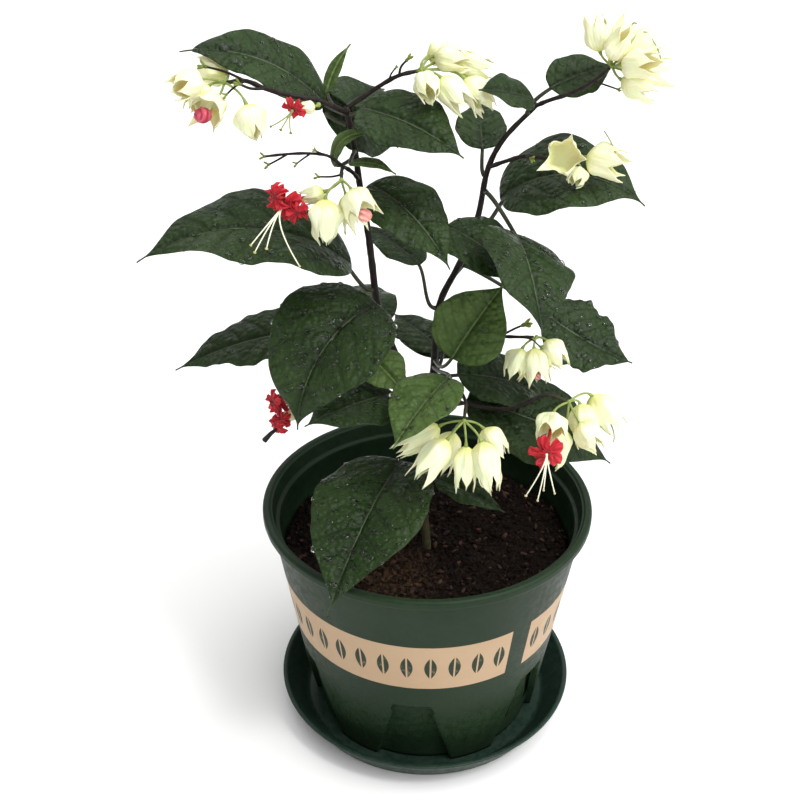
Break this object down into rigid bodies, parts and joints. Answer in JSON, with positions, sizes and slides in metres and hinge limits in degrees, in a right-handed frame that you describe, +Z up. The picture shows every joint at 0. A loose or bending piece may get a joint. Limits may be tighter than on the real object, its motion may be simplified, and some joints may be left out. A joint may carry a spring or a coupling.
{
  "type": "bleeding heart vine",
  "caption": "Potted flowering vine with glossy pointed leaves, cream lantern calyces and crimson corollas, in a plastic nursery pot on a saucer.",
  "frame": {"origin": "centre of the saucer's flat underside, on the surface it stands on", "axes": "+Z up; +X to the right and -Y to the front of the side that shows most flowers"},
  "size_m": [0.2712, 0.2191, 0.4408],
  "materials": {
    "green_plastic": "moulded, satin",
    "soil": "loose potting mix",
    "stem": "thin bark",
    "dark_leaf": "waxy leaf, dark green",
    "fresh_leaf": "waxy leaf, younger green",
    "calyx": "thin papery bract, cream",
    "corolla": "thin petal, crimson",
    "stamen": "pale filament"
  },
  "bodies": {
    "root": {"saucer": "green_plastic", "pot": "green_plastic", "soil": "soil", "stem": "stem", "leaf_top_left": "dark_leaf", "leaf_top_young": "fresh_leaf", "leaf_top_back": "dark_leaf", "leaf_under_top": "dark_leaf", "leaf_top_right": "dark_leaf", "leaf_curl": "dark_leaf", "leaf_bract": "fresh_leaf", "leaf_left_large": "dark_leaf", "leaf_upper_mid": "dark_leaf", "leaf_behind_mid": "dark_leaf", "leaf_right_arm": "dark_leaf", "leaf_right_bend": "dark_leaf", "leaf_right_large": "dark_leaf", "leaf_heart": "dark_leaf", "leaf_tip_left": "dark_leaf", "leaf_tip_right": "dark_leaf", "leaf_light": "fresh_leaf", "leaf_light_low": "fresh_leaf", "leaf_big_left": "dark_leaf", "leaf_low_left": "fresh_leaf", "leaf_low_mid": "fresh_leaf", "leaf_far_left": "dark_leaf", "leaf_rim": "dark_leaf", "leaf_low_small": "dark_leaf", "leaf_low_right": "dark_leaf", "leaf_right_droop": "dark_leaf", "leaf_shade_a": "dark_leaf", "leaf_shade_c": "dark_leaf", "leaf_back_low": "dark_leaf", "leaf_back_left": "dark_leaf", "leaf_back_right": "dark_leaf", "cyme_a": "calyx", "cyme_b": "calyx", "cyme_c": "calyx", "cyme_d": "calyx", "cyme_e": "calyx", "cyme_f": "calyx", "cyme_g": "calyx", "cyme_h": "calyx", "cyme_i": "calyx", "cyme_j": "calyx", "corolla_b": "corolla", "corolla_f": "corolla", "corolla_i": "corolla", "corolla_j_upper": "corolla", "corolla_j_lower": "corolla", "bud_a": "corolla", "bud_f": "corolla", "bud_g": "corolla", "stamens_b": "stamen", "stamens_f": "stamen", "stamens_i": "stamen"}
  },
  "joints": []
}
